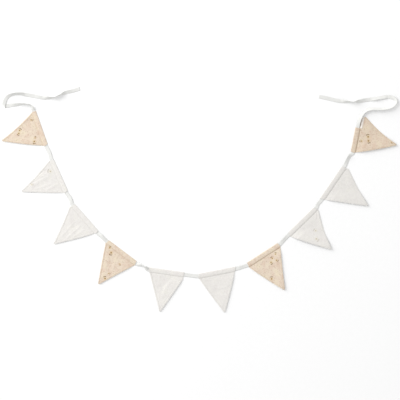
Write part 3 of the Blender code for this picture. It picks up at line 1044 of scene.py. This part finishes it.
def woven_ribbon(name, code, edge_code):
    """White ribbon with fine cross ribs and two firm selvedges: a soft sheen, edges like lines."""
    material, tree, shader = start_material(name, roughness=0.55, sheen=0.25)
    place = add(tree, "ShaderNodeUVMap", uv_map="cloth").outputs["UV"]
    axes = add(tree, "ShaderNodeSeparateXYZ", {0: place})
    ribs = {0: axes.outputs[1], 1: 2 * pi / RIB_PITCH}
    ribs = add(tree, "ShaderNodeMath", ribs, operation="MULTIPLY")
    ribs = add(tree, "ShaderNodeMath", {0: ribs.outputs[0]}, operation="SINE")
    outward = add(tree, "ShaderNodeMath", {0: axes.outputs[0]}, operation="ABSOLUTE")
    inner_edge = 0.5 * RIBBON_WIDTH - SELVEDGE
    selvedge = add(
        tree, "ShaderNodeMapRange",
        {
            "Value": outward.outputs[0], "From Min": inner_edge - SELVEDGE_BLUR,
            "From Max": inner_edge + SELVEDGE_BLUR, "To Min": 0.0, "To Max": 1.0,
        },
    )
    body = add(tree, "ShaderNodeTexCoord").outputs["Object"]
    clouds = {"Vector": body, "Scale": 1 / (SHADE_SIZE * MM), "Detail": 1.0}
    clouds = add(tree, "ShaderNodeTexNoise", clouds)
    shade = add(
        tree, "ShaderNodeMapRange",
        {"Value": clouds.outputs["Fac"], "From Min": 0.3, "From Max": 0.7, "To Min": 0.97, "To Max": 1.02},
    )
    woven = {0: linear(code)[:3], 3: shade.outputs[0]}
    woven = add(tree, "ShaderNodeVectorMath", woven, operation="SCALE")
    edged = add(
        tree, "ShaderNodeMix",
        {"Factor": selvedge.outputs[0], 6: woven.outputs[0], 7: linear(edge_code)},
        data_type="RGBA",
    )
    tree.links.new(edged.outputs[2], shader.inputs["Base Color"])
    height = {0: selvedge.outputs[0], 1: SELVEDGE_RELIEF, 2: ribs.outputs[0]}
    height = add(tree, "ShaderNodeMath", height, operation="MULTIPLY_ADD")
    relief = {"Strength": 0.28, "Distance": 0.2 * MM, "Height": height.outputs[0]}
    raised = add(tree, "ShaderNodeBump", relief)
    tree.links.new(raised.outputs[0], shader.inputs["Normal"])
    return material


ribbon_mesh, ribbon_length = weave_ribbon(ribbon_sections(threaded_points()))
ribbon = bpy.data.objects.new("ribbon_band", ribbon_mesh)
bpy.context.scene.collection.objects.link(ribbon)
ribbon.data.materials.append(woven_ribbon("white woven ribbon", "#e6e6e3", "#e2e2df"))
wall = ribbon.modifiers.new("ribbon thickness", "SOLIDIFY")
wall.thickness = RIBBON_THICKNESS * MM
wall.offset = 0.0
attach(ribbon, "root")
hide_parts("ribbon")


# The surface it lies on, the light and the camera: matt white paper that reaches far out and gives
# an even bright ground, one large soft lamp from the upper left and an even white sky, seen from
# straight above and far away through a long lens. Sizes here are in metres.
SURFACE_HALF = 120.0
SURFACE_LEVEL = -0.0001
FIBRE_SCALE = 60.0
LAMP_PLACE = (-6.8, 4.8, 3.6)
LAMP_SIZE = 5.4
LAMP_POWER = 690.0
SKY_STRENGTH = 0.765
CAMERA_PLACE = (0.0016, -0.0022, 20.0)
FRAME_WIDTH = 1.66
SENSOR_WIDTH = 36.0

surface_mesh = bpy.data.meshes.new("surface")
surface_shape = bmesh.new()
bmesh.ops.create_grid(surface_shape, x_segments=1, y_segments=1, size=SURFACE_HALF)
surface_shape.to_mesh(surface_mesh)
surface_shape.free()
surface = bpy.data.objects.new("surface", surface_mesh)
surface.location = (0, 0, SURFACE_LEVEL)
bpy.context.scene.collection.objects.link(surface)
paper, tree, shader = start_material("white paper surface", roughness=0.95, sheen=0.0)
place = add(tree, "ShaderNodeTexCoord").outputs["Object"]
fibre = add(tree, "ShaderNodeTexNoise", {"Vector": place, "Scale": FIBRE_SCALE, "Detail": 2.0})
white = add(
    tree, "ShaderNodeMapRange",
    {"Value": fibre.outputs["Fac"], "From Min": 0.3, "From Max": 0.7, "To Min": 0.965, "To Max": 0.975},
)
tree.links.new(white.outputs[0], shader.inputs["Base Color"])
surface.data.materials.append(paper)

lamp_data = bpy.data.lights.new("soft light", "AREA")
lamp_data.shape = "SQUARE"
lamp_data.size = LAMP_SIZE
lamp_data.energy = LAMP_POWER
lamp = bpy.data.objects.new("soft light", lamp_data)
lamp.location = LAMP_PLACE
lamp.rotation_mode = "QUATERNION"
lamp.rotation_quaternion = (-lamp.location).to_track_quat("-Z", "Y")
bpy.context.scene.collection.objects.link(lamp)

world = bpy.data.worlds.new("even white sky")
bpy.context.scene.world = world
world.use_nodes = True
world.node_tree.nodes["Background"].inputs["Color"].default_value = (1, 1, 1, 1)
world.node_tree.nodes["Background"].inputs["Strength"].default_value = SKY_STRENGTH

camera_data = bpy.data.cameras.new("camera")
camera_data.sensor_width = SENSOR_WIDTH
camera_data.lens = SENSOR_WIDTH * CAMERA_PLACE[2] / FRAME_WIDTH
camera_data.clip_end = 1000.0
camera = bpy.data.objects.new("camera", camera_data)
camera.location = CAMERA_PLACE
bpy.context.scene.collection.objects.link(camera)
bpy.context.scene.camera = camera
bpy.context.scene.view_settings.view_transform = "Standard"
